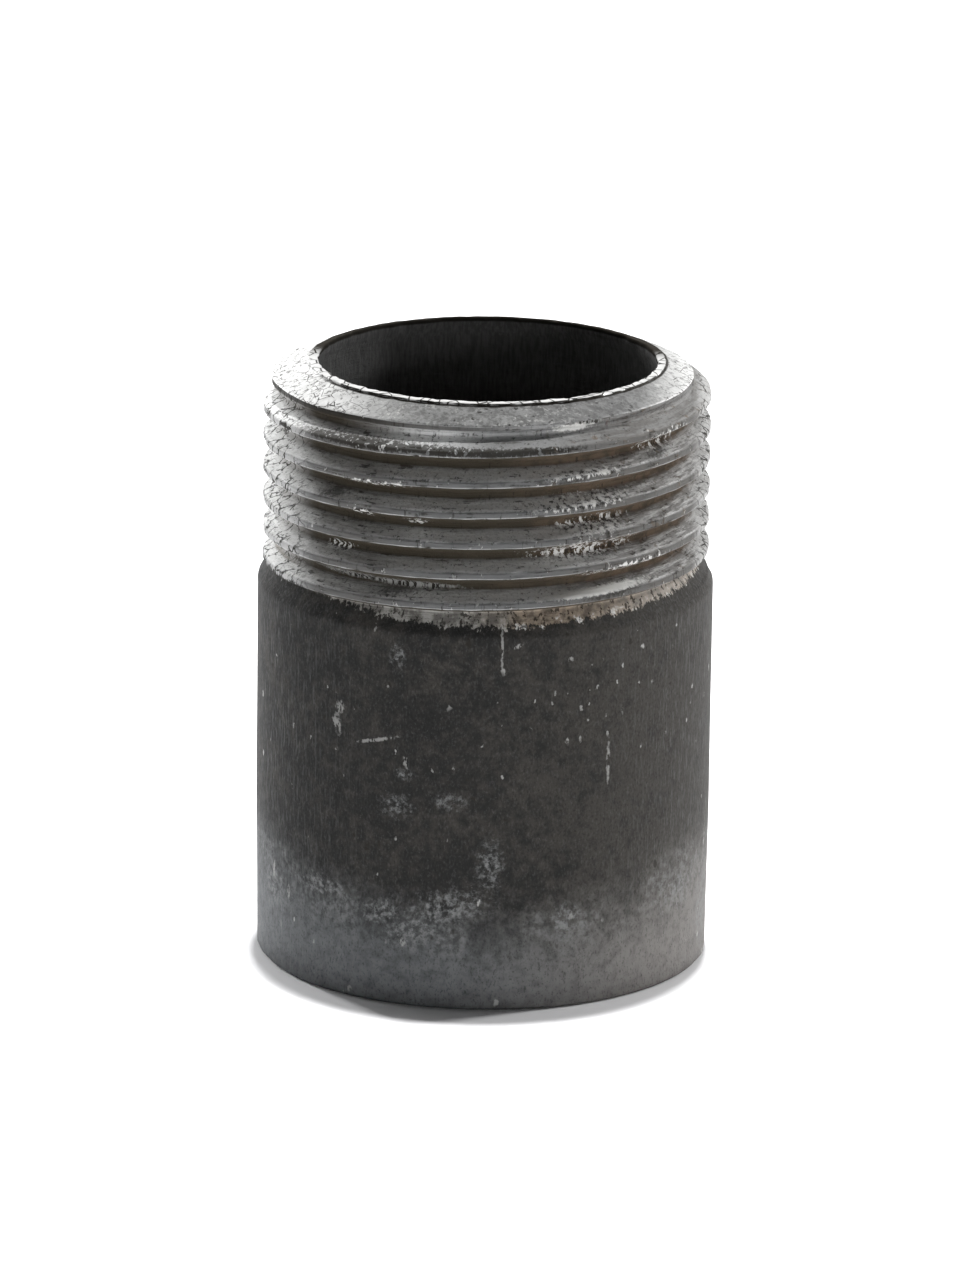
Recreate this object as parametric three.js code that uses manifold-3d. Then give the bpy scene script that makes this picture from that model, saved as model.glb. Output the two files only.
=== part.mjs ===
// Threaded pipe nipple for a DN20 (3/4 inch) line: one short piece of heavy black steel pipe. The foot is plain,
// for welding, and the mouth carries a right-hand parallel pipe thread of Whitworth form.
// Millimetres, +Z up, origin at the centre of the plain end's face.
import * as THREE from "three";
import { mergeVertices } from "three/addons/utils/BufferGeometryUtils.js";
import Module from "manifold-3d";

// Pipe
const pipeRadius = 26.9 / 2;
const wallThickness = 3.2;
const nippleLength = 35.9;
const boreRadius = pipeRadius - wallThickness;

// Pipe thread: 14 turns to the inch, flanks 27.5 degrees off square, with the crests worn down a little
const pitch = 25.4 / 14;
const flankAngle = THREE.MathUtils.degToRad(27.5);
const threadMajorRadius = 26.441 / 2;
const threadMinorRadius = 24.117 / 2;
const crestWear = 0.06;
const rootFlat = pitch / 6;

// The groove's place: its centre below the mouth at the front (-Y), and how many turns it has above and below
const grooveBelowMouth = 1.45;
const turnsAbove = 1.35;
const turnsBelow = 6.7;

// Lead-in: on its last turn to the mouth the ridge is cut down from the full crest, past a middle height, to
// nearly the root. Each stage is [turns from the front, radius].
const leadStages = [
  [-0.56, threadMajorRadius + 0.1],
  [-0.25, 12.68],
  [0, 12.38],
  [0.17, threadMinorRadius + 0.05],
  [0.6, threadMinorRadius + 0.05],
];

// Mouth: a narrow flat lip, drawn in by the cutter, and a shallow chamfer down to the thread's crests
const lipInnerRadius = 9.98;
const lipOuterRadius = 10.45;
const lipRise = 0.1;
const chamferSlope = 0.41;
const lipNeck = 1.2;

// Shoulder: the cone that the die's throat leaves where the thread runs out into the full pipe
const shoulderFoot = 22.65;
const shoulderTop = 24.9;
const shoulderSlope = 0.6;
const shoulderSkin = 0.04;

// Plain end: drawn in slightly by the cut, with a worn outer corner and a small chamfer in the bore
const footTaperHeight = 9;
const footTaper = 0.11;
const footCorner = 0.35;
const footChamfer = 0.25;

// Facets
const roundSegments = 64;
const cornerSegments = 2;
const grooveStepsPerTurn = 32;

const blackSteel = new THREE.MeshStandardMaterial({ color: 0x48484a, roughness: 0.55, metalness: 0.7 });

const wasm = await Module();
wasm.setup();

// A closed mesh with its shared vertices merged, as a solid that can be cut.
function toSolid(geometry) {
  const bare = geometry.clone();
  bare.deleteAttribute("normal");
  bare.deleteAttribute("uv");
  const merged = mergeVertices(bare);
  const mesh = new wasm.Mesh({
    numProp: 3,
    vertProperties: new Float32Array(merged.attributes.position.array),
    triVerts: new Uint32Array(merged.index.array),
  });
  return new wasm.Manifold(mesh);
}

function toGeometry(solid) {
  const mesh = solid.getMesh();
  const geometry = new THREE.BufferGeometry();
  geometry.setAttribute("position", new THREE.BufferAttribute(new Float32Array(mesh.vertProperties), 3));
  geometry.setIndex(new THREE.BufferAttribute(new Uint32Array(mesh.triVerts), 1));
  geometry.computeVertexNormals();
  return geometry;
}

// A section in radius and height, turned about the bore's axis.
function turned(section) {
  const ring = new THREE.LatheGeometry(section.getPoints(cornerSegments), roundSegments);
  ring.rotateX(Math.PI / 2);
  return ring;
}

// The pipe piece before threading: its wall's section, turned about the bore's axis.
function turnedBlank() {
  const crestRadius = threadMajorRadius - crestWear;
  const chamferTop = nippleLength - lipRise;
  const chamferFoot = chamferTop - chamferSlope * (crestRadius - lipOuterRadius);
  const footRadius = pipeRadius - footTaper;
  const section = new THREE.Path();
  section.moveTo(boreRadius, footChamfer);
  section.lineTo(boreRadius + footChamfer, 0);
  section.lineTo(footRadius - footCorner, 0);
  section.absarc(footRadius - footCorner, footCorner, footCorner, -Math.PI / 2, 0, false);
  section.lineTo(pipeRadius, footTaperHeight);
  section.lineTo(pipeRadius, shoulderFoot);
  section.lineTo(crestRadius, shoulderFoot + (pipeRadius - crestRadius) / shoulderSlope);
  section.lineTo(crestRadius, chamferFoot);
  section.lineTo(lipOuterRadius, chamferTop);
  section.lineTo(lipOuterRadius, nippleLength);
  section.lineTo(lipInnerRadius, nippleLength);
  section.lineTo(lipInnerRadius, nippleLength - lipRise);
  section.lineTo(boreRadius, nippleLength - lipNeck);
  section.lineTo(boreRadius, footChamfer);
  return turned(section);
}

// The steel that the threading cutter can't reach: a ring inside the wall whose outside is the shoulder's cone.
function shoulderRing() {
  const innerRadius = (boreRadius + threadMinorRadius) / 2;
  const footRadius = pipeRadius + shoulderSkin;
  const ringFoot = shoulderFoot - pitch;
  const section = new THREE.Path();
  section.moveTo(innerRadius, ringFoot);
  section.lineTo(footRadius, ringFoot);
  section.lineTo(footRadius, shoulderFoot);
  section.lineTo(footRadius - shoulderSlope * (shoulderTop - shoulderFoot), shoulderTop);
  section.lineTo(innerRadius, shoulderTop);
  section.lineTo(innerRadius, ringFoot);
  return turned(section);
}

// A right-hand helix of the thread's pitch, over turns counted from the front. Its height is given at the front
// and its radius is a function of the turn.
class ThreadHelix extends THREE.Curve {
  constructor(firstTurn, lastTurn, heightAtFront, radiusAt) {
    super();
    this.firstTurn = firstTurn;
    this.lastTurn = lastTurn;
    this.heightAtFront = heightAtFront;
    this.radiusAt = radiusAt;
  }

  getPoint(t, target = new THREE.Vector3()) {
    const turn = THREE.MathUtils.lerp(this.firstTurn, this.lastTurn, t);
    const angle = 2 * Math.PI * turn - Math.PI / 2;
    const radius = this.radiusAt(turn);
    return target.set(radius * Math.cos(angle), radius * Math.sin(angle), this.heightAtFront + pitch * turn);
  }

  // Frames that stay square to the bore's axis, so that a cutter never twists: its section's first direction
  // is outward from the axis and its second is down.
  computeFrenetFrames(steps) {
    const frames = { tangents: [], normals: [], binormals: [] };
    for (let i = 0; i <= steps; i += 1) {
      const centre = this.getPointAt(i / steps);
      frames.tangents.push(this.getTangentAt(i / steps));
      frames.normals.push(new THREE.Vector3(centre.x, centre.y, 0).normalize());
      frames.binormals.push(new THREE.Vector3(0, 0, -1));
    }
    return frames;
  }
}

// A section that reaches outward from the helix, half as wide at its root and at its mouth as given.
function sweptCutter(helix, halfRoot, halfMouth, reach) {
  const section = new THREE.Shape();
  section.moveTo(0, -halfRoot);
  section.lineTo(reach, -halfMouth);
  section.lineTo(reach, halfMouth);
  section.lineTo(0, halfRoot);
  section.closePath();
  const steps = Math.round(grooveStepsPerTurn * (helix.lastTurn - helix.firstTurn));
  return new THREE.ExtrudeGeometry(section, { steps, bevelEnabled: false, extrudePath: helix });
}

// The steel that the threading die takes out: a V with a flat root at the minor radius.
function grooveCutter() {
  const reach = pipeRadius - threadMinorRadius + 0.6;
  const halfRoot = rootFlat / 2;
  const halfMouth = halfRoot + reach * Math.tan(flankAngle);
  const height = nippleLength - grooveBelowMouth;
  const helix = new ThreadHelix(-turnsBelow, turnsAbove, height, () => threadMinorRadius);
  return sweptCutter(helix, halfRoot, halfMouth, reach);
}

// The ridge's radius on the lead-in, in straight stages between the given ones.
function leadRadiusAt(turn) {
  const next = Math.max(1, leadStages.findIndex(([stageTurn]) => stageTurn >= turn));
  const [[turnA, radiusA], [turnB, radiusB]] = [leadStages[next - 1], leadStages[next]];
  return THREE.MathUtils.mapLinear(turn, turnA, turnB, radiusA, radiusB);
}

// What the lead-in takes off the ridge, which lies half a pitch above the groove's centre.
function leadCutter() {
  const halfWidth = 0.44 * pitch;
  const height = nippleLength - grooveBelowMouth + pitch / 2;
  const helix = new ThreadHelix(leadStages[0][0], leadStages.at(-1)[0], height, leadRadiusAt);
  return sweptCutter(helix, halfWidth, halfWidth, 2);
}

const cutters = toSolid(grooveCutter()).subtract(toSolid(shoulderRing())).add(toSolid(leadCutter()));
const nippleBody = new THREE.Mesh(toGeometry(toSolid(turnedBlank()).subtract(cutters)), blackSteel);
nippleBody.name = "nipple_body";

const nipple = new THREE.Group();
nipple.add(nippleBody);

export default nipple;
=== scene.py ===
import math

import bpy
import numpy as np
from mathutils import Euler, Matrix, Vector


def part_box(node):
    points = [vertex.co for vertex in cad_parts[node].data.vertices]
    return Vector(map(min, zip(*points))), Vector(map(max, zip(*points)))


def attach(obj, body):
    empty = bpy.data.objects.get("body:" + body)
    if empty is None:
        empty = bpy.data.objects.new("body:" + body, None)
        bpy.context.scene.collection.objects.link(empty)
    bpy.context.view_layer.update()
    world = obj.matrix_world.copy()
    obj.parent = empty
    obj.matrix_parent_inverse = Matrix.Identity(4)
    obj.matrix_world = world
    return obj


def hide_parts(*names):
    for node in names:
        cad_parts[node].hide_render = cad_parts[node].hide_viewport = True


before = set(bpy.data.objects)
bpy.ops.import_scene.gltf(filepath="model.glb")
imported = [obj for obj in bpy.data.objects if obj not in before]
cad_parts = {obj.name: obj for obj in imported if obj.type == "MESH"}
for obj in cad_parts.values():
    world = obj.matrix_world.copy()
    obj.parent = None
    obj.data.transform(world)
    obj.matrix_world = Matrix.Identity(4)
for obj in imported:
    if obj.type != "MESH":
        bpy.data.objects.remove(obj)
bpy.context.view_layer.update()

# ---------------------------------------------------------------------------------------------------------
# Sizes in millimetres. The pipe's radius and the nipple's length come from the frame.
# ---------------------------------------------------------------------------------------------------------
MM = 0.001
_, body_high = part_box("nipple_body")
PIPE_R = body_high.x / MM
LENGTH = body_high.z / MM
WALL_THICKNESS = 3.2
BORE_R = PIPE_R - WALL_THICKNESS

# Pipe thread: 14 turns to the inch, flanks 27.5 degrees off square, worn crests
PITCH = 25.4 / 14
HALF_ROOT_FLAT = PITCH / 12
FLANK_RISE = 1 / math.tan(math.radians(27.5))
CREST_WEAR = 0.06
CREST_R = 26.441 / 2 - CREST_WEAR
ROOT_R = 24.117 / 2
GROOVE_BELOW_MOUTH = 1.45
GROOVE_AT_FRONT = LENGTH - GROOVE_BELOW_MOUTH

# Mouth. The lip is wider by LIP_WIDENING at the angle LIP_WIDEST, on the front left.
LIP_IN_R = 9.98
LIP_OUT_R = 10.45
LIP_RISE = 0.1
LIP_WIDENING = 0.11
LIP_WIDEST = -0.7
CHAMFER_SLOPE = 0.41

SHOULDER_FOOT = 22.65
SHOULDER_TOP = 24.9
SHOULDER_SLOPE = 0.6

# Foot. The bore's small chamfer there is given as steps of [out from the bore, height].
FOOT_TAPER_TOP = 9.0
FOOT_TAPER = 0.11
FOOT_CORNER = 0.35
FOOT_CORNER_CENTRE_R = PIPE_R - FOOT_TAPER - FOOT_CORNER
BORE_FOOT_STEPS = [(0.0, 0.4), (0.06, 0.16), (0.2, 0.02), (0.28, 0.0)]

# How wide a band each corner is rounded over
ROOT_BLEND = 0.22
CREST_BLEND_ABOVE = 0.2
CREST_BLEND_UNDER = 0.04
CHAMFER_BLEND = 0.05
SHOULDER_BLEND = 0.12
PIPE_BLEND = 0.1

# The ridge is cut down on its last turn to the mouth: angles from the front along the helix, and radii.
LEAD_ANGLES = np.radians([150, 225, 270, 315, 360, 400, 425])
LEAD_RADII = [CREST_R + 0.1, 12.95, 12.68, 12.50, 12.38, 12.18, ROOT_R + 0.03]

# The surface grid: columns round the pipe, and rows that are closest on the thread
COLUMNS = 320
WALL_ROWS = 22
THREAD_ROWS = 222
CHAMFER_ROWS = 26
BORE_ROWS = 14
FOOT_ROWS = 5
THREAD_ROWS_FROM = SHOULDER_FOOT - 0.6
CHAMFER_ROWS_FROM = LENGTH - 1.35


# ---------------------------------------------------------------------------------------------------------
# Shape helpers: whole arrays, angle in radians from the front (-Y) towards +X, height in millimetres
# ---------------------------------------------------------------------------------------------------------
def soft_min(a, b, blend):
    """The lower of a and b, with the corner where they cross rounded over a band of that width."""
    share = np.clip(0.5 + 0.5 * (b - a) / blend, 0, 1)
    return b + (a - b) * share - blend * share * (1 - share)


def soft_max(a, b, blend):
    """The higher of a and b, rounded in the same way."""
    return -soft_min(-a, -b, blend)


def ripple(seed, angle, height, around, along, waves=40):
    """Smooth random relief of about unit size: a sum of cosines of the angle and the height, with up to
    `around` whole waves round the pipe and up to `along` waves to the millimetre, so it closes on itself."""
    rng = np.random.default_rng(seed)
    relief = np.zeros(np.broadcast(angle, height).shape)
    for _ in range(waves):
        turns = rng.integers(-around, around + 1)
        rate = rng.uniform(-along, along) * 2 * math.pi
        relief += np.cos(turns * angle + rate * height + rng.uniform(0, 2 * math.pi))
    return relief * math.sqrt(2 / waves)


def dents(seed, angle, height, count, place, size, depth):
    """A field of small pits: each takes off a Gaussian of the distance along the wall from its centre. place
    draws a pit's angle and height, size its two half widths in millimetres, and depth its depth."""
    rng = np.random.default_rng(seed)
    relief = np.zeros(np.broadcast(angle, height).shape)
    for _ in range(count):
        at_angle, at_height = place(rng)
        wide, tall = size(rng)
        around = (angle - at_angle + math.pi) % (2 * math.pi) - math.pi
        off = (around * PIPE_R / wide) ** 2 + ((height - at_height) / tall) ** 2
        relief = np.maximum(relief, depth(rng) * np.exp(-off))
    return relief


def on_crest(rng):
    """A random place on the thread's crest line, half a pitch above the groove's centre line. The turns are
    counted from the front and upwards, so the ones below the mouth are negative."""
    turn = rng.uniform(-5.6, -0.4)
    return turn * 2 * math.pi, GROOVE_AT_FRONT + PITCH * (turn + 0.5) + rng.normal(0, 0.12)


# ---------------------------------------------------------------------------------------------------------
# The nipple's surface
# ---------------------------------------------------------------------------------------------------------
def outer_radius(angle, height):
    """Radius of the outside at each angle and height. The thread is a V that rises with the distance from the
    nearest turn of the groove, held under the worn and dented crest and over the rounded root. The mouth's cone
    and the pipe's own wall hold it in from outside, and the shoulder's cone holds it out from inside. A small
    random ripple is added to each of them."""
    turn = (height - GROOVE_AT_FRONT) / PITCH - angle / (2 * math.pi)
    off_groove = (turn - np.round(turn)) * PITCH
    tear = ripple(11, angle, height, 60, 1.6)
    rise = ROOT_R + (np.abs(off_groove) - HALF_ROOT_FLAT) * FLANK_RISE + 0.012 * tear
    along_ridge = angle + 2 * math.pi * (np.floor(turn) + 1)
    crest = np.minimum(CREST_R, np.interp(along_ridge, LEAD_ANGLES, LEAD_RADII, left=CREST_R))
    crest = crest + 0.014 * ripple(12, angle, height, 25, 0.5)
    crest = crest - dents(
        13, angle, height, 120, on_crest,
        lambda rng: (rng.uniform(0.12, 0.5), rng.uniform(0.1, 0.3)), lambda rng: rng.uniform(0.03, 0.14),
    )
    crest_blend = np.where(off_groove > 0, CREST_BLEND_UNDER, CREST_BLEND_ABOVE)
    thread = soft_min(soft_max(rise, ROOT_R, ROOT_BLEND), crest, crest_blend)

    chamfer_lift = 0.012 * ripple(14, angle, height, 70, 2.5, 60)
    cone = LIP_OUT_R + 0.05 + (LENGTH - LIP_RISE - height + chamfer_lift) / CHAMFER_SLOPE
    thread = soft_min(thread, cone, CHAMFER_BLEND)

    shoulder = PIPE_R - SHOULDER_SLOPE * (height - SHOULDER_FOOT)
    shoulder = shoulder + 0.012 * ripple(15, angle, height, 60, 1.0)
    taper = FOOT_TAPER * np.clip(1 - height / FOOT_TAPER_TOP, 0, 1)
    pipe = PIPE_R - taper - 0.012 + 0.006 * ripple(16, angle, height, 9, 0.12)
    return soft_min(soft_max(thread, shoulder, SHOULDER_BLEND), pipe, PIPE_BLEND)


def lip_rows(angle):
    """Radius and height of the rows from the chamfer's top over the flat lip and down into the bore. The lip's
    two edges are circles plus random ripples. The outer one is wider on the front left by a cosine of the angle,
    and the inner one has small teeth at the front right. Where another ripple is high the top is chipped. At the
    back the outer rows are moved in and down, so the lip is rubbed to a ridge there."""
    outer = LIP_OUT_R + 0.035 * ripple(21, angle, 0, 60, 0) + 0.02 * ripple(22, angle, 0, 14, 0)
    outer = outer + LIP_WIDENING * np.clip(np.cos(angle - LIP_WIDEST), 0, 1)
    toothed = np.clip(np.cos(angle - 0.35) * 8 - 6.8, 0, 1)
    inner = LIP_IN_R + 0.03 * ripple(23, angle, 0, 70, 0)
    inner = inner - 0.10 * toothed * np.clip(ripple(25, angle, 0, 110, 0) - 0.2, 0, 1)
    chip = np.clip(ripple(24, angle, 0, 90, 0) - 1.1, 0, 1) * 0.05
    middle = (inner + outer) / 2
    top = LENGTH - chip
    rubbed = np.clip(-np.cos(angle) * 2.5 - 0.6, 0, 1)
    rows = [
        (outer + 0.02 - 0.3 * rubbed, LENGTH - 0.085 - 0.085 * rubbed),
        (outer - 0.3 * rubbed, top - 0.03 - 0.12 * rubbed),
        (outer - 0.035 - 0.27 * rubbed, top - 0.004 - 0.12 * rubbed),
        (middle + 0.08 - 0.2 * rubbed, top - 0.09 * rubbed),
        (middle - 0.08 - 0.08 * rubbed, top - 0.04 * rubbed),
        (inner + 0.05, top - 0.003),
        (inner + 0.012, top - 0.03),
        (inner, LENGTH - 0.12),
        (inner, LENGTH - 0.3),
        (LIP_IN_R + 0.03, LENGTH - 0.5),
        (LIP_IN_R + 0.13, LENGTH - 0.85),
        (BORE_R, LENGTH - 1.25),
    ]
    radii, heights = zip(*rows)
    return [np.broadcast_to(r, angle.shape) for r in radii], [np.broadcast_to(z, angle.shape) for z in heights]


def bore_rows(angle):
    """The bore's wall from the mouth down, a circle plus a slight ripple, then the steps of the small chamfer at
    the foot, and the flat ring that the nipple stands on."""
    heights = list(np.linspace(LENGTH - 2.2, 1.2, BORE_ROWS))
    radii = [BORE_R + 0.015 * ripple(31, angle, z, 12, 0.2) for z in heights]
    for out, step_height in BORE_FOOT_STEPS:
        radii.append(np.full(angle.shape, BORE_R + out))
        heights.append(step_height)
    for ring_r in np.linspace(BORE_R + 0.8, FOOT_CORNER_CENTRE_R, FOOT_ROWS):
        radii.append(np.full(angle.shape, ring_r))
        heights.append(0.0)
    return radii, [np.full(angle.shape, z) for z in heights]


def corner_rows(angle):
    """The foot's worn outer corner: a quarter round whose radius wanders."""
    wander = 0.03 * ripple(41, angle, 0, 40, 0)
    sweep = np.radians([22.5, 45, 67.5])
    radii = [FOOT_CORNER_CENTRE_R + (FOOT_CORNER + wander * math.sin(t)) * math.sin(t) for t in sweep]
    heights = [FOOT_CORNER - FOOT_CORNER * math.cos(t) + 0 * angle for t in sweep]
    return radii, heights


def grid_mesh(name, radius, height, angle):
    """A closed ring of quads: row i and column j sit at that radius, angle and height, and both directions
    wrap round."""
    rows, columns = radius.shape
    points = np.stack([radius * np.sin(angle), -radius * np.cos(angle), height], axis=-1) * MM
    index = np.arange(rows * columns).reshape(rows, columns)
    right = np.roll(index, -1, axis=1)
    quads = np.stack([index, right, np.roll(right, -1, axis=0), np.roll(index, -1, axis=0)], axis=-1)
    mesh = bpy.data.meshes.new(name)
    mesh.vertices.add(rows * columns)
    mesh.vertices.foreach_set("co", points.astype(np.float32).ravel())
    mesh.loops.add(quads.size)
    mesh.loops.foreach_set("vertex_index", quads.astype(np.int32).ravel())
    mesh.polygons.add(quads.size // 4)
    mesh.polygons.foreach_set("loop_start", np.arange(0, quads.size, 4, dtype=np.int32))
    mesh.polygons.foreach_set("use_smooth", np.ones(quads.size // 4, bool))
    mesh.update(calc_edges=True)
    mesh.validate()
    return mesh


def nipple_surface():
    """The whole nipple as one closed surface: round the wall's section from the foot's outer corner up the
    outside, over the lip, down the bore and back under the foot."""
    angle = np.arange(COLUMNS) * 2 * math.pi / COLUMNS
    heights = np.concatenate([
        np.linspace(FOOT_CORNER, THREAD_ROWS_FROM, WALL_ROWS, endpoint=False),
        np.linspace(THREAD_ROWS_FROM, CHAMFER_ROWS_FROM, THREAD_ROWS, endpoint=False),
        np.linspace(CHAMFER_ROWS_FROM, LENGTH - LIP_RISE, CHAMFER_ROWS),
    ])
    outside_r = outer_radius(angle[None, :], heights[:, None])
    outside_z = np.broadcast_to(heights[:, None], outside_r.shape)
    corner_r, corner_z = corner_rows(angle)
    lip_r, lip_z = lip_rows(angle)
    bore_r, bore_z = bore_rows(angle)
    radius = np.vstack([*corner_r, outside_r, *lip_r, *bore_r])
    height = np.vstack([*corner_z, outside_z, *lip_z, *bore_z])
    mesh = grid_mesh("nipple", radius, height, angle[None, :])
    made = bpy.data.objects.new("pipe_nipple", mesh)
    bpy.context.scene.collection.objects.link(made)
    return made


# ---------------------------------------------------------------------------------------------------------
# Shader maths
# ---------------------------------------------------------------------------------------------------------
class Number:
    """A node's number output. Arithmetic on it adds Math nodes to its graph."""

    def __init__(self, graph, socket):
        self.graph = graph
        self.socket = socket

    def math(self, operation, *others):
        return self.graph.number("Math", {"operation": operation}, dict(enumerate([self, *others])))

    def __add__(self, other):
        return self.math("ADD", other)

    __radd__ = __add__

    def __sub__(self, other):
        return self.math("SUBTRACT", other)

    def __rsub__(self, other):
        return (self * -1) + other

    def __mul__(self, other):
        return self.math("MULTIPLY", other)

    __rmul__ = __mul__

    def __truediv__(self, other):
        return self.math("DIVIDE", other)

    def __pow__(self, other):
        return self.math("POWER", other)

    def __abs__(self):
        return self.math("ABSOLUTE")

    def least(self, other):
        return self.math("MINIMUM", other)

    def most(self, other):
        return self.math("MAXIMUM", other)

    def fade(self, start, end):
        """0 at start and 1 at end, with a soft turn at both; start may be the higher one."""
        inputs = {"Value": self, "From Min": start, "From Max": end}
        return self.graph.number("MapRange", {"interpolation_type": "SMOOTHSTEP"}, inputs)


class Graph:
    """A node tree that is filled by code: numbers, colours and vectors."""

    def __init__(self, tree):
        self.tree = tree
        tree.nodes.clear()

    def node(self, kind, settings, inputs):
        """A node of that kind, with its settings made first and then its sockets' values or links."""
        made = self.tree.nodes.new("ShaderNode" + kind)
        for name, value in settings.items():
            setattr(made, name, value)
        for name, value in inputs.items():
            socket = made.inputs[name]
            value = getattr(value, "socket", value)
            if isinstance(value, bpy.types.NodeSocket):
                self.tree.links.new(value, socket)
            else:
                socket.default_value = value
        return made

    def number(self, kind, settings, inputs, output=0):
        return Number(self, self.node(kind, settings, inputs).outputs[output])

    def stretch(self, vector, x, y, z):
        return self.node("VectorMath", {"operation": "MULTIPLY"}, {0: vector, 1: (x, y, z)}).outputs[0]

    def noise(self, vector, scale, detail, roughness):
        inputs = {"Vector": vector, "Scale": scale, "Detail": detail, "Roughness": roughness}
        return self.number("TexNoise", {}, inputs)

    def crack_distance(self, vector, scale):
        """Distance from the nearest crack of a random net, in cells of the net."""
        inputs = {"Vector": vector, "Scale": scale, "Randomness": 1.0}
        return self.number("TexVoronoi", {"feature": "DISTANCE_TO_EDGE"}, inputs, "Distance")

    def flecks(self, vector, scale, share, least, most):
        """Scattered round flecks, one in some of the cells: share of the cells have one, with a radius between
        least and most of a cell."""
        node = self.node("TexVoronoi", {"feature": "F1"}, {"Vector": vector, "Scale": scale, "Randomness": 1.0})
        chance = self.node("SeparateXYZ", {}, {0: node.outputs["Color"]})
        kept = Number(self, chance.outputs[0]).fade(share, share - 0.02)
        size = Number(self, chance.outputs[1]) ** 2 * (most - least) + least
        return (Number(self, node.outputs["Distance"]) / size).fade(1.15, 0.75) * kept

    def blend(self, share, first, second):
        """The first colour where share is 0 and the second where it is 1."""
        inputs = {0: share, 6: first, 7: second}
        node = self.node("Mix", {"data_type": "RGBA", "clamp_factor": True}, inputs)
        return node.outputs[2]


# ---------------------------------------------------------------------------------------------------------
# Black steel: mill scale on the pipe, bare worn steel and brown stain on the thread and the mouth
# ---------------------------------------------------------------------------------------------------------
SCALE = (0.0200, 0.0200, 0.0195, 1)
SCALE_WARM = (0.045, 0.042, 0.038, 1)
SCALE_PIT = (0.010, 0.010, 0.010, 1)
DUST = (0.15, 0.15, 0.15, 1)
FOOT_GREY = (0.130, 0.136, 0.141, 1)
FOOT_WARM = (0.182, 0.173, 0.164, 1)
# Light patches on the scale; also painted sheen on the wall's two sides
PATCH_AND_SHEEN = (0.200, 0.205, 0.205, 1)

# Bare steel; also painted highlights on the thread
BARE_AND_HIGHLIGHT = (0.62, 0.62, 0.60, 1)
# Grime; also painted shade under the crests, under the chamfer's edge, at the lip's step and back, and in the
# bore
GRIME_AND_SHADE = (0.020, 0.018, 0.015, 1)
# Brown stain; also painted shade under the crest on the shoulder
STAIN_AND_SHADE = (0.045, 0.038, 0.028, 1)
RUST = (0.105, 0.078, 0.056, 1)

FLANK = (0.72, 0.725, 0.72, 1)
CREST = (0.125, 0.127, 0.127, 1)
# Painted shade for the first turn's flank on the right
FIRST_TURN_SHADE = (0.13, 0.132, 0.132, 1)
FILM = (0.105, 0.098, 0.09, 1)
# Painted highlight on the thread's two sides
THREAD_SIDE_HIGHLIGHT = (0.70, 0.70, 0.69, 1)
TICK = (0.26, 0.26, 0.25, 1)

CHAMFER = (0.32, 0.322, 0.318, 1)
CHAMFER_DARK = (0.17, 0.17, 0.167, 1)
# Painted shade on the chamfer's front right
CHAMFER_FRONT_SHADE = (0.12, 0.12, 0.12, 1)
# Painted highlight on the chamfer's two sides
CHAMFER_SIDE_HIGHLIGHT = (0.80, 0.80, 0.79, 1)
LIP = (0.68, 0.68, 0.67, 1)

PLATE_DARK = (0.13, 0.125, 0.115, 1)
PLATE_LIGHT = (0.30, 0.295, 0.275, 1)
RUSTY_DARK = (0.105, 0.090, 0.072, 1)
RUSTY_LIGHT = (0.28, 0.23, 0.18, 1)
# Painted light on the shoulder's two sides
SHOULDER_SIDE_LIGHT = (0.42, 0.40, 0.37, 1)

BORE_DARK = (0.075, 0.075, 0.074, 1)
BORE_LIGHT = (0.110, 0.110, 0.108, 1)

# Oval marks: angle in degrees from the front, height, half width, half height, and tilt in degrees.
# On the wall: scrapes to bare steel, light patches, and areas with many specks.
# On the thread: torn steel, smudges, strips of grime, rows of light ticks, and painted highlights of bare steel.
SCRAPES = [
    (-38.5, 17.5, 0.30, 0.35, 20),
    (-39.5, 16.5, 0.28, 0.45, -35),
    (-28.0, 16.0, 1.15, 0.10, 14),
    (32.7, 14.7, 0.10, 1.10, 0),
    (4.4, 22.2, 0.07, 1.30, 0),
    (-19.5, 14.9, 0.16, 0.30, -20),
    (21.9, 21.2, 0.13, 0.13, 0),
    (8.5, 22.2, 0.22, 0.12, 30),
    (-20.0, 3.9, 0.15, 0.22, -30),
    (-35.2, 0.5, 0.16, 0.16, 0),
    (-66.0, 6.2, 0.14, 0.55, -10),
    (-58.0, 5.2, 0.12, 0.40, -15),
    (78.0, 7.6, 0.16, 0.50, 0),
    (74.0, 2.0, 0.16, 0.40, 0),
]
PATCHES = [
    (-26.0, 5.6, 1.5, 0.9, 10),
    (-17.0, 4.6, 2.0, 1.1, 8),
    (-9.0, 6.2, 2.6, 1.2, 10),
    (-19.5, 14.2, 0.6, 0.4, 0),
    (-8.0, 12.7, 1.1, 0.5, 0),
    (-22.0, 12.2, 1.0, 0.8, 0),
    (2.0, 8.8, 0.8, 1.6, 0),
    (-22.0, 21.2, 0.5, 0.8, 0),
    (22.0, 5.3, 1.2, 1.0, 0),
    (60.0, 5.6, 2.2, 1.5, 0),
    (78.0, 3.6, 2.0, 3.0, 0),
    (-66.0, 5.0, 1.8, 1.6, 0),
    (-44.0, 6.4, 2.2, 0.7, 0),
    (140.0, 6.0, 3.0, 1.2, 0),
    (-130.0, 12.0, 1.8, 0.9, 0),
]
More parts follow.
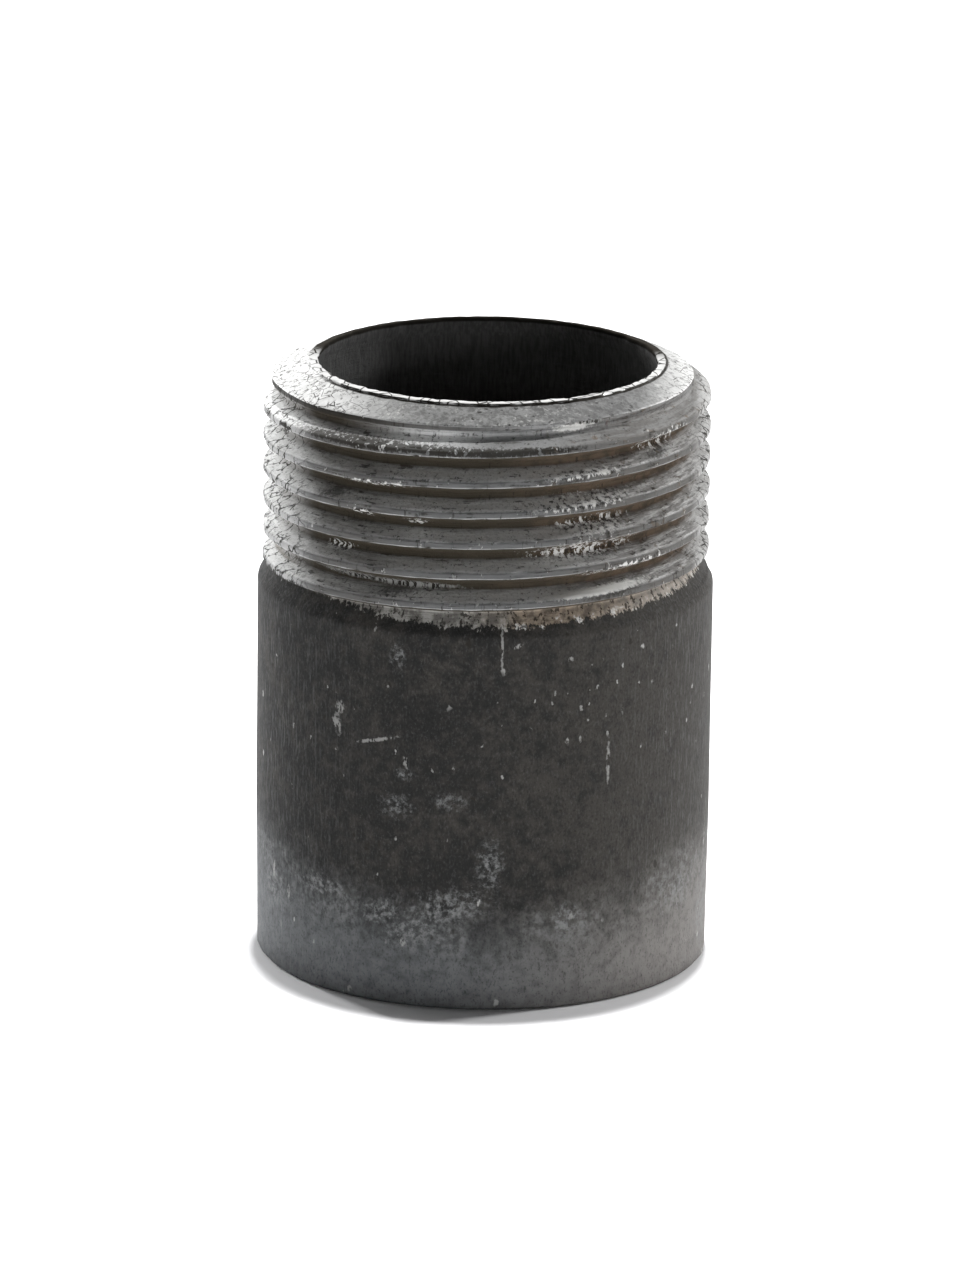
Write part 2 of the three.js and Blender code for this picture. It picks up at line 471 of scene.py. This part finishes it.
TORN = [
    (26.0, 32.1, 2.6, 0.22, 2),
    (25.0, 30.4, 3.6, 0.35, 2),
    (30.0, 28.9, 2.4, 0.45, 2),
    (28.0, 27.5, 3.4, 0.55, 2),
    (40.0, 26.2, 3.0, 0.30, 2),
    (54.0, 33.2, 2.0, 0.60, 2),
    (-30.0, 31.3, 2.0, 0.20, 2),
    (-34.0, 29.4, 0.7, 0.25, 2),
    (-19.0, 29.2, 0.8, 0.20, 2),
    (-44.0, 26.9, 1.2, 0.30, 2),
    (150.0, 28.9, 2.4, 0.4, 2),
    (-140.0, 30.6, 3.0, 0.3, 2),
    (100.0, 27.2, 2.6, 0.3, 2),
]
SMUDGED = [
    (-40.0, 31.0, 2.2, 0.35, 8),
    (-36.0, 28.9, 1.8, 0.30, 8),
    (-44.0, 30.2, 1.4, 0.40, 8),
    (20.0, 31.6, 1.6, 0.30, 8),
    (-24.0, 25.0, 2.0, 0.35, 8),
    (33.0, 27.4, 1.5, 0.50, 8),
    (38.0, 24.9, 3.0, 0.35, 8),
    (52.0, 32.5, 1.6, 0.30, 8),
    (32.5, 28.5, 0.16, 1.1, 0),
]
GRIMED = [
    (-32.0, 33.60, 4.5, 0.22, 1),
    (-6.0, 33.62, 4.5, 0.18, 0),
    (10.0, 33.68, 2.5, 0.15, 1),
]
TICKED = [
    (-40.0, 25.40, 2.4, 0.20, 0),
    (-22.0, 25.32, 2.8, 0.20, 0),
    (28.0, 34.90, 1.0, 0.25, 2),
]
# Painted highlights: bare steel where highlights fall on the last ridge and under the chamfer's edge
HIGHLIGHT_OVALS = [
    (31.0, 24.95, 3.4, 0.17, 2),
    (24.0, 34.72, 1.3, 0.20, 1),
]
SPECKLED = [
    (33.0, 19.4, 4.2, 1.5, 12),
    (42.5, 18.6, 0.5, 5.0, 0),
    (4.0, 17.5, 0.4, 1.9, 28),
    (28.0, 16.9, 3.4, 0.9, 0),
    (-56.0, 13.8, 0.4, 2.4, 0),
    (120.0, 15.0, 5.0, 3.0, 0),
    (-110.0, 9.0, 3.0, 5.0, 0),
]


class Wall:
    """The nipple's own coordinates in its material, and the patterns that are made from them. spot is the place
    in millimetres and radius the distance from the bore's axis. angle is in radians from the front and around is
    its length along the wall. along counts the thread's turns, and across is 0 at a groove's centre and half at
    a crest. fine, mid and broad are noises by size. grain runs up the wall, lines runs along the thread, and
    shards is coarse and angular. ragged is spot shaken a little, for uneven outlines."""

    def __init__(self, graph):
        self.graph = graph
        place = graph.node("TexCoord", {}, {}).outputs["Object"]
        self.spot = graph.node("VectorMath", {"operation": "SCALE"}, {0: place, "Scale": 1 / MM}).outputs[0]
        split = graph.node("SeparateXYZ", {}, {0: self.spot})
        self.x, self.y, self.z = (Number(graph, split.outputs[i]) for i in range(3))
        self.radius = (self.x * self.x + self.y * self.y) ** 0.5
        self.angle = self.x.math("ARCTAN2", self.y * -1)
        self.around = self.angle * PIPE_R
        turn = (self.z - GROOVE_AT_FRONT) / PITCH - self.angle / (2 * math.pi)
        nearest = (turn + 0.5).math("FLOOR")
        self.across = turn - nearest
        self.along = self.angle / (2 * math.pi) + nearest
        self.fine = graph.noise(self.spot, 4.5, 4, 0.65)
        self.mid = graph.noise(self.spot, 1.5, 4, 0.6)
        self.broad = graph.noise(self.spot, 0.32, 3, 0.55)
        shake = graph.node("TexNoise", {}, {"Vector": self.spot, "Scale": 3.0, "Detail": 2.0}).outputs["Color"]
        shaken = {0: shake, 1: (0.35, 0.35, 0.35), 2: self.spot}
        self.ragged = graph.node("VectorMath", {"operation": "MULTIPLY_ADD"}, shaken).outputs[0]
        self.grain = graph.noise(graph.stretch(self.spot, 1, 1, 0.14), 7.0, 3, 0.6)
        hoop = {0: self.x * 0.3, 1: self.y * 0.3, 2: abs(self.across) * 9 + self.z * 0.3}
        self.lines = graph.noise(graph.node("CombineXYZ", {}, hoop).outputs[0], 1.7, 4, 0.65)
        self.shards = graph.noise(graph.stretch(self.spot, 1, 1, 0.5), 3.4, 2.5, 0.7)

    def ovals(self, marks, start=1.3, end=0.5):
        """1 inside any of the oval marks, 0 outside, with a soft ragged rim."""
        nearest = None
        for angle, height, wide, tall, tilt in marks:
            centre = math.radians(angle) * PIPE_R
            lean = math.tan(math.radians(tilt))
            right = self.around.math("MULTIPLY_ADD", 1 / wide, -centre / wide)
            up = self.z.math("MULTIPLY_ADD", 1 / tall, (centre * lean - height) / tall)
            if lean:
                up = self.around.math("MULTIPLY_ADD", -lean / tall, up)
            reach = right.math("MULTIPLY_ADD", right, up * up)
            nearest = reach if nearest is None else nearest.least(reach)
        return (nearest ** 0.5 + (self.fine - 0.5) * 2.2).fade(start, end)


def scale_colour(wall):
    """Mill scale on the plain wall: near black, lighter and mottled towards the foot, and specked with bare
    steel. Gives its colour and how much bare metal shows."""
    graph = wall.graph
    right_side = wall.x.fade(-4, 12)
    warm = (wall.mid * 0.6 + wall.broad * 0.4 + right_side * 0.2).fade(0.42, 0.72)
    dark = graph.blend(warm, SCALE, SCALE_WARM)

    # The lighter foot. Its blotchy border is lowest at the front.
    border = (1 + wall.y / PIPE_R) * 4.6 + 4.6
    below = border.least(7.6) - wall.z + (wall.mid - 0.5) * 2.2 + (wall.broad - 0.5) * 3
    blotch = graph.noise(wall.spot, 2.6, 4, 0.7)
    foot = (below + (blotch - 0.5) * 4).fade(-3.0, 4.2)
    foot_colour = graph.blend(right_side, FOOT_GREY, FOOT_WARM)
    colour = graph.blend(foot * (0.7 + 0.3 * wall.mid.fade(0.3, 0.6)), dark, foot_colour)

    # Fine light and dark dust everywhere, and light upright streaks on the two sides as painted sheen
    dust = graph.noise(graph.stretch(wall.spot, 1, 1, 0.6), 8.0, 2, 0.7)
    colour = graph.blend(dust.fade(0.52, 0.72) * 0.16, colour, DUST)
    colour = graph.blend(dust.fade(0.48, 0.30) * 0.45, colour, SCALE_PIT)
    side_sheen = wall.grain.fade(0.50, 0.68) * abs(wall.x).fade(5.0, 13.4)
    colour = graph.blend(side_sheen * 0.22, colour, PATCH_AND_SHEEN)

    # Light patches, also in a broken band along the foot's border
    rim = below.fade(-1.4, 0.2) * below.fade(2.6, 0.8) * wall.broad.fade(0.42, 0.6)
    patch = (wall.ovals(PATCHES, 1.25, 0.1).most(rim * 0.5) * blotch.fade(0.42, 0.64)).least(1)
    colour = graph.blend(patch * 0.85, colour, PATCH_AND_SHEEN)

    # Bare specks in three sizes, scrapes, and dark pits
    upright = graph.stretch(wall.ragged, 1, 1, 0.5)
    many = wall.ovals(SPECKLED, 1.3, 0.3)
    speck = graph.flecks(upright, 1.0, 0.40, 0.06, 0.17) * wall.broad.fade(0.42, 0.55)
    speck = speck.most(graph.flecks(upright, 2.1, 0.65, 0.11, 0.30) * many)
    speck = speck.most(graph.flecks(upright, 2.6, 0.2, 0.10, 0.24) * wall.mid.fade(0.56, 0.62) * 0.5)
    scrape = wall.ovals(SCRAPES, 1.5, 0.6) * wall.shards.fade(0.42, 0.52)
    bare = (speck * 0.45).most(scrape * 0.33)
    pits = graph.flecks(upright, 1.3, 0.6, 0.10, 0.30) * wall.mid.fade(0.50, 0.60)
    colour = graph.blend(pits * (0.8 - foot * 0.6), colour, GRIME_AND_SHADE)
    return colour, bare


def thread_colour(wall):
    """Cut steel on the thread: grey upper flanks, darker, less metallic crests, painted shade as a thin dark line
    under each crest, and brown stain in the grooves, more rust on the right. Over that come torn chips, smudges,
    a painted highlight of light steel crossed by a dark crazed net on the two sides, and the single marks. Gives
    its colour and how metallic it is."""
    graph = wall.graph
    across = wall.across + (wall.lines - 0.5) * 0.07
    root = across.fade(-0.22, -0.05) * across.fade(0.44, 0.40)
    grooved = wall.radius.fade(CREST_R - 0.02, CREST_R - 0.1)
    first_groove = wall.along.fade(-0.02, -0.13)
    stain = root * grooved * first_groove
    crest = abs(across).fade(0.36, 0.43)
    right_side = (wall.x + (wall.broad - 0.5) * 10).fade(0, 7)

    # Flanks and crests, with painted shade on the first turn's right, and under a film on the right and the left
    metal = graph.blend(crest, FLANK, CREST)
    first_ridge = wall.along.fade(-0.12, 0.02)
    metal = graph.blend(first_ridge * wall.x.fade(-5, 1) * 0.75, metal, FIRST_TURN_SHADE)
    film = (wall.x.fade(2, 8) * 0.75).most(wall.x.fade(-4, -7) * wall.x.fade(-10.8, -9.3) * 0.45)
    ticks = graph.noise(graph.stretch(wall.spot, 1, 1, 0.08), 5.0, 2, 0.8)
    metal = graph.blend(ticks.fade(0.50, 0.62) * 0.25, metal, CREST)
    metal = graph.blend(film * (0.55 + 0.45 * wall.lines.fade(0.42, 0.54)), metal, FILM)

    # Grime in strips and smudges
    strip = wall.ovals(GRIMED, 1.7, 1.0) * wall.shards.fade(0.66, 0.55)
    metal = graph.blend(strip * 0.9, metal, GRIME_AND_SHADE)
    smudge = wall.lines.fade(0.55, 0.62) * wall.mid.fade(0.46, 0.58)
    smudge = smudge.most(wall.ovals(SMUDGED, 1.2, 0.2)) * 0.75
    metal = graph.blend(smudge, metal, GRIME_AND_SHADE)

    # Brown stain in the grooves, and painted shade as the thin dark line under each crest
    brown = graph.blend(right_side * (0.35 + 0.65 * wall.mid.fade(0.35, 0.6)), STAIN_AND_SHADE, RUST)
    spread = (wall.mid.fade(0.60, 0.68) * right_side * 0.6).most(stain)
    colour = graph.blend(spread, metal, brown)
    line = across.fade(0.30, 0.38) * across.fade(0.44, 0.41) * grooved
    colour = graph.blend(line * 0.8, colour, GRIME_AND_SHADE)

    # Torn steel: dark holes, and bright chips that also lie loose along the crests. Upright gouges.
    torn = wall.ovals(TORN, 1.3, 0.6)
    colour = graph.blend(torn * wall.shards.fade(0.45, 0.41) * 0.8, colour, GRIME_AND_SHADE)
    loose = wall.mid.fade(0.55, 0.62) * abs(across).fade(0.30, 0.38) * 0.5
    chip = wall.shards.fade(0.52, 0.55) * torn
    chip = chip.most(wall.shards.fade(0.60, 0.64) * loose)
    gouge = ticks.fade(0.60, 0.66) * wall.mid.fade(0.46, 0.56)
    colour = graph.blend(gouge * 0.7, colour, GRIME_AND_SHADE)

    # The two sides: light steel as a painted highlight, with a dark crazed net, which fades out towards the back
    sides = wall.x.fade(-9.8, -11.6).most(wall.x.fade(11.9, 12.8))
    crazed = graph.crack_distance(wall.ragged, 0.95).fade(0.065, 0.025) * sides
    crazed = crazed.most(wall.fine.fade(0.58, 0.64) * sides)
    colour = graph.blend(sides * (1 - crazed) * 0.45, colour, THREAD_SIDE_HIGHLIGHT)
    crazed = crazed * wall.mid.fade(0.40, 0.52) * wall.y.fade(6, 1)
    colour = graph.blend(crazed * 0.9, colour, GRIME_AND_SHADE)

    # Light ticks, painted shade as a dark line under the chamfer's edge on the left, painted highlights of bare
    # steel, and the chips on top
    ticked = wall.ovals(TICKED, 1.5, 0.7)
    colour = graph.blend(ticked * 0.9, colour, TICK)
    colour = graph.blend(ticks.fade(0.50, 0.54) * ticked, colour, GRIME_AND_SHADE)
    cone = chamfer_radius(wall)
    under = cone.fade(10.16, 10.08) * cone.fade(9.3, 9.6) * wall.z.fade(LENGTH - 2.3, LENGTH - 2.0)
    colour = graph.blend(under * wall.x.fade(4, -2) * 0.85, colour, GRIME_AND_SHADE)
    painted_highlight = wall.ovals(HIGHLIGHT_OVALS, 1.4, 0.7)
    colour = graph.blend(painted_highlight, colour, BARE_AND_HIGHLIGHT)
    colour = graph.blend(chip, colour, BARE_AND_HIGHLIGHT)
    metallic = (1 - spread) * (0.52 - crest * 0.25) * (1 - smudge.most(strip)) * (1 - crazed) * (1 - ticked)
    return colour, metallic * (1 - chip)


def chamfer_radius(wall):
    """The radius at the mouth's level of the cone through a place, with the chamfer's slope. It is the same all
    over the chamfer, and less below it."""
    return wall.radius + (wall.z - LENGTH) / CHAMFER_SLOPE


def mouth_colour(wall):
    """The chamfer and the lip: bare steel, pitted and cracked, with painted shade as a dark line where the lip
    steps up and on the lip at the back, a painted highlight on the two sides and painted shade on the front
    right.
    Gives its colour, how metallic it is, and where the painted shade on the lip's back is."""
    graph = wall.graph
    mottle = (wall.fine * 0.55 + wall.mid * 0.45).fade(0.40, 0.60)
    colour = graph.blend(mottle, CHAMFER_DARK, CHAMFER)
    pit = graph.flecks(wall.ragged, 2.2, 0.7, 0.12, 0.38) * wall.mid.fade(0.44, 0.54)
    colour = graph.blend(pit * 0.8, colour, GRIME_AND_SHADE)
    colour = graph.blend(wall.shards.fade(0.56, 0.62) * wall.broad.fade(0.45, 0.55) * 0.6, colour, BARE_AND_HIGHLIGHT)

    # The two sides are light, a painted highlight, and cracked, and the front right is darker with painted shade
    crack = graph.crack_distance(wall.spot, 1.25) + (wall.fine - 0.5) * 0.04
    sides = wall.x.fade(-3.0, -10.0).most(wall.x.fade(8.5, 12.0))
    colour = graph.blend(sides * 0.85, colour, CHAMFER_SIDE_HIGHLIGHT)
    colour = graph.blend(wall.shards.fade(0.44, 0.38) * sides * 0.7, colour, GRIME_AND_SHADE)
    colour = graph.blend(crack.fade(0.035, 0.012) * sides * wall.mid.fade(0.40, 0.5), colour, GRIME_AND_SHADE)
    widening = LIP_WIDENING * (wall.angle - LIP_WIDEST).math("COSINE").most(0)
    front_right_shade = wall.x.fade(1, 5) * wall.x.fade(10.5, 7)
    colour = graph.blend(front_right_shade * 0.4, colour, CHAMFER_FRONT_SHADE)

    # Painted shade along the step up to the lip, the lip with its notches, and painted shade on its back
    lip_radius = wall.radius - widening
    step = lip_radius.fade(LIP_OUT_R - 0.05, LIP_OUT_R) * lip_radius.fade(LIP_OUT_R + 0.18, LIP_OUT_R + 0.10)
    colour = graph.blend(step * (wall.mid + 0.5).least(1) * wall.x.fade(-10.2, -8.8), colour, GRIME_AND_SHADE)
    lip = lip_radius.fade(LIP_OUT_R, LIP_OUT_R - 0.05) * wall.z.fade(LENGTH - 0.2, LENGTH - 0.1)
    notch = graph.crack_distance(graph.stretch(wall.spot, 1, 1, 0), 1.05).fade(0.055, 0.025)
    back_shade = wall.y.fade(-0.5, 2.5) * wall.radius.fade(LIP_OUT_R + 0.25, LIP_OUT_R + 0.1)
    colour = graph.blend(lip * (1 - notch), colour, LIP)
    colour = graph.blend((lip * notch).most(back_shade), colour, GRIME_AND_SHADE)
    return colour, (1 - back_shade) * 0.6, back_shade


def shoulder_colour(wall, past_edge):
    """The shoulder's cone: light bare patches on the left, rust on the right with bright rags where the scale
    ends, painted light on both sides, dark holes, and painted shade as a brown line under the crest along the
    thread's run-out. past_edge is the height above the scale's edge. Gives where the shoulder is, and its colour."""
    graph = wall.graph
    right_side = (wall.x + (wall.broad - 0.5) * 10).fade(-3, 3)
    plate = graph.blend(wall.mid.fade(0.4, 0.6), PLATE_DARK, PLATE_LIGHT)
    rusty = graph.blend(wall.mid.fade(0.35, 0.6), RUSTY_DARK, RUSTY_LIGHT)
    colour = graph.blend(right_side, plate, rusty)
    ragged = past_edge.fade(0.5, 0.1) * wall.mid.fade(0.55, 0.62) * right_side
    colour = graph.blend(ragged, colour, BARE_AND_HIGHLIGHT)
    # Painted light: both sides lighter
    colour = graph.blend(abs(wall.x).fade(5, 11) * 0.5, colour, SHOULDER_SIDE_LIGHT)
    hole = wall.shards.fade(0.44, 0.40)
    colour = graph.blend(hole * 0.8, colour, GRIME_AND_SHADE)
    # Painted shade: a brown line under the crest
    under_crest_shade = wall.across + (wall.lines - 0.5) * 0.05
    under_crest_shade = under_crest_shade.fade(0.26, 0.31) * under_crest_shade.fade(0.46, 0.42)
    colour = graph.blend(under_crest_shade * 0.9, colour, STAIN_AND_SHADE)
    cone = wall.radius + (wall.z - SHOULDER_FOOT) * SHOULDER_SLOPE
    shoulder = cone.fade(PIPE_R - 0.2, PIPE_R - 0.1) * cone.fade(PIPE_R + 0.2, PIPE_R + 0.1)
    return shoulder * wall.z.fade(SHOULDER_TOP, SHOULDER_TOP - 0.2), colour


def bore_colour(wall):
    """The bore: dark grey steel with an upright grain, and painted shade just inside the lip and deep down."""
    graph = wall.graph
    bore_shade = wall.z.fade(LENGTH - 2, LENGTH - 7).most(wall.z.fade(LENGTH - 0.35, LENGTH - 0.2))
    grained = graph.blend(wall.grain.fade(0.35, 0.65), BORE_DARK, BORE_LIGHT)
    return graph.blend(bore_shade, grained, GRIME_AND_SHADE)


def black_steel():
    """The whole finish. The wall's scale ends at a ragged edge on the shoulder, past which the steel is cut. The
    mouth and the bore are laid over both."""
    material = bpy.data.materials.new("black_steel")
    material.use_nodes = True
    graph = Graph(material.node_tree)
    wall = Wall(graph)

    scale_edge = (1 + wall.y / PIPE_R) * (1.5 - wall.x * (0.6 / PIPE_R)) + 23.2
    past_edge = wall.z - scale_edge.least(24.1) + (wall.grain - 0.5) * 0.9 + (wall.mid - 0.5) * 0.7
    cut = past_edge.fade(-0.06, 0.06)
    mouth = wall.z.fade(LENGTH - 1.2, LENGTH - 1.1) * chamfer_radius(wall).fade(10.1, 10.2)
    mouth = mouth.most(wall.z.fade(LENGTH - 0.32, LENGTH - 0.22))
    inside = wall.radius.fade(LIP_IN_R + 0.6, LIP_IN_R + 0.5) * wall.z.fade(LENGTH - 0.06, LENGTH - 0.16)

    scale, bare = scale_colour(wall)
    thread, thread_metal = thread_colour(wall)
    rim, rim_metal, back_shade = mouth_colour(wall)
    shoulder, shoulder_tint = shoulder_colour(wall, past_edge)

    cut_colour = graph.blend(shoulder, thread, shoulder_tint)
    cut_metal = thread_metal * (1 - shoulder)
    outside = graph.blend(cut, graph.blend(bare, scale, BARE_AND_HIGHLIGHT), cut_colour)
    metallic = cut_metal * cut
    colour = graph.blend(mouth, outside, rim)
    metallic = metallic * (1 - mouth) + rim_metal * mouth
    colour = graph.blend(inside, colour, bore_colour(wall))
    metallic = metallic * (1 - inside)

    # The painted shade on the lip's back is also rougher
    rough = 0.62 - metallic * 0.22 + (wall.fine - 0.5) * 0.2 + back_shade * mouth * 0.4
    relief = (wall.grain - 0.5) * (1 - cut) * 0.03 + (wall.fine - 0.5) * 0.03
    relief = relief + (wall.lines - 0.5) * cut * (1 - mouth) * 0.05 + (wall.mid - 0.5) * cut * 0.08
    bump = graph.node("Bump", {}, {"Strength": 1.0, "Distance": MM, "Height": relief})
    shader = graph.node("BsdfPrincipled", {}, {
        "Base Color": colour, "Metallic": metallic, "Roughness": rough, "Normal": bump.outputs[0],
        "Specular IOR Level": 0.06,
    })
    graph.node("OutputMaterial", {}, {"Surface": shader.outputs[0]})
    return material


nipple = nipple_surface()
nipple.data.materials.append(black_steel())
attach(nipple, "root")
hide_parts("nipple_body")


# ---------------------------------------------------------------------------------------------------------
# Studio: a white floor, a bright backdrop and four softboxes
# ---------------------------------------------------------------------------------------------------------
FLOOR_HALF_SIDE = 1.0
ROOM_SEEN = 0.9
LIGHT_DISTANCE = 1.1


def white_floor():
    side = FLOOR_HALF_SIDE
    mesh = bpy.data.meshes.new("floor")
    mesh.from_pydata([(-side, -side, 0), (side, -side, 0), (side, side, 0), (-side, side, 0)], [], [(0, 1, 2, 3)])
    floor = bpy.data.objects.new("floor", mesh)
    bpy.context.scene.collection.objects.link(floor)
    paint = bpy.data.materials.new("floor_white")
    paint.use_nodes = True
    graph = Graph(paint.node_tree)
    shader = graph.node("BsdfDiffuse", {}, {"Color": (0.90, 0.90, 0.91, 1)})
    graph.node("OutputMaterial", {}, {"Surface": shader.outputs[0]})
    mesh.materials.append(paint)


def surround():
    """Light from all round. The room is dim, the half behind the nipple is lighter, and a bright backdrop stands
    low in it, brightest on the left and dimming upwards. Where the room itself is in view it is plain and
    pale."""
    world = bpy.data.worlds.new("surround")
    world.use_nodes = True
    bpy.context.scene.world = world
    graph = Graph(world.node_tree)
    way = graph.node("TexCoord", {}, {}).outputs["Generated"]
    split = graph.node("SeparateXYZ", {}, {0: way})
    x, y, z = (Number(graph, split.outputs[i]) for i in range(3))
    behind = y.fade(0.15, 0.6)
    level = 0.043 + y.fade(-0.1, 0.25) * 0.22 + z.fade(0.93, 0.55) * behind * 0.22
    level = level + z.fade(0.70, 0.25) * behind * (0.45 + 2.0 * x.fade(0.15, -0.45))
    seen = graph.number("LightPath", {}, {}, "Is Camera Ray")
    strength = level * (1 - seen) + seen * ROOM_SEEN
    sky = graph.node("Background", {}, {"Color": (1, 1, 1, 1), "Strength": strength})
    graph.node("OutputWorld", {}, {"Surface": sky.outputs[0]})


def softbox(name, azimuth, elevation, wide, tall, power, in_reflections=True):
    """A soft light that faces the nipple's middle. azimuth is in degrees from the front towards +X, elevation in
    degrees above the floor, wide and tall in metres, power in watts."""
    lamp = bpy.data.lights.new(name, "AREA")
    lamp.shape = "RECTANGLE"
    lamp.size = wide
    lamp.size_y = tall
    lamp.energy = power
    made = bpy.data.objects.new(name, lamp)
    a, e = math.radians(azimuth), math.radians(elevation)
    way = Vector((math.sin(a) * math.cos(e), -math.cos(a) * math.cos(e), math.sin(e)))
    made.location = Vector((0, 0, LENGTH * MM / 2)) + way * LIGHT_DISTANCE
    made.rotation_mode = "QUATERNION"
    made.rotation_quaternion = way.to_track_quat("Z", "Y")
    made.visible_glossy = in_reflections
    bpy.context.scene.collection.objects.link(made)


white_floor()
surround()
softbox("right", azimuth=112, elevation=31, wide=0.12, tall=0.40, power=7.5)
softbox("left", azimuth=-142, elevation=13, wide=0.12, tall=0.40, power=12.5, in_reflections=False)
softbox("fill", azimuth=40, elevation=6.5, wide=0.30, tall=0.14, power=1.9)
softbox("overhead", azimuth=173, elevation=85.6, wide=0.045, tall=0.045, power=18, in_reflections=False)


# ---------------------------------------------------------------------------------------------------------
# Camera: a long lens from the front, 16 degrees above the level of the floor
# ---------------------------------------------------------------------------------------------------------
DROP = math.radians(16.09)
DISTANCE = 42.46 * PIPE_R * MM
AIM = Vector((-0.02 * PIPE_R * MM, 0, 1.390 * PIPE_R * MM))
LEAN = math.radians(0.7)
SENSOR = 36
FOCAL_LENGTH = 271.5

lens = bpy.data.cameras.new("camera")
lens.sensor_width = SENSOR
lens.lens = FOCAL_LENGTH
lens.clip_start = 0.01
lens.clip_end = 20
camera = bpy.data.objects.new("camera", lens)
camera.location = AIM + Vector((0, -math.cos(DROP), math.sin(DROP))) * DISTANCE
turn_down = Euler((math.pi / 2 - DROP, 0, 0)).to_matrix()
camera.rotation_mode = "QUATERNION"
camera.rotation_quaternion = (turn_down @ Matrix.Rotation(LEAN, 3, "Z")).to_quaternion()
bpy.context.scene.collection.objects.link(camera)
bpy.context.scene.camera = camera
bpy.context.scene.view_settings.view_transform = "Standard"
